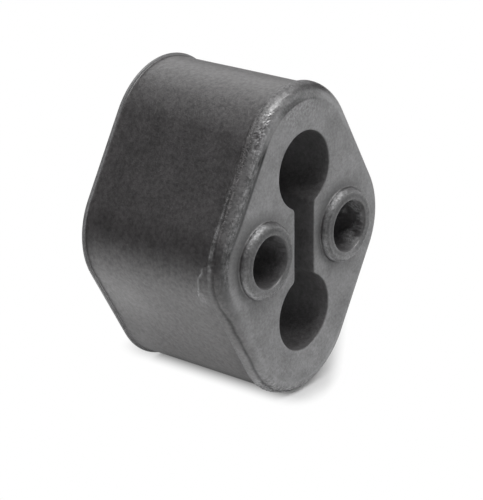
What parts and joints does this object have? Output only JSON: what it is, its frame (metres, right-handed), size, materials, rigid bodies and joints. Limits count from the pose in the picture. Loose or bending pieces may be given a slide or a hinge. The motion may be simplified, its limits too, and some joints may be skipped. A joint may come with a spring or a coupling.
{
  "type": "exhaust hanger",
  "caption": "Moulded rubber exhaust hanger: a lozenge block with raised bosses round its rod bores, a dumbbell opening between them and a lip round each face.",
  "frame": {"origin": "middle of the block: halfway between the rod bores, between the two faces and between the two lobes of the opening", "axes": "+Y along the rod bores, from the front face with the rounded lip to the rear face; +X through both rod bores; +Z along the dumbbell opening. In use the block hangs with one rod bore above the other, so X is then upright"},
  "size_m": [0.0528, 0.0396, 0.0654],
  "materials": {
    "rubber": "matte moulded EPDM rubber, satin on the sides"
  },
  "bodies": {
    "root": {"hanger_block": "rubber"}
  },
  "joints": []
}
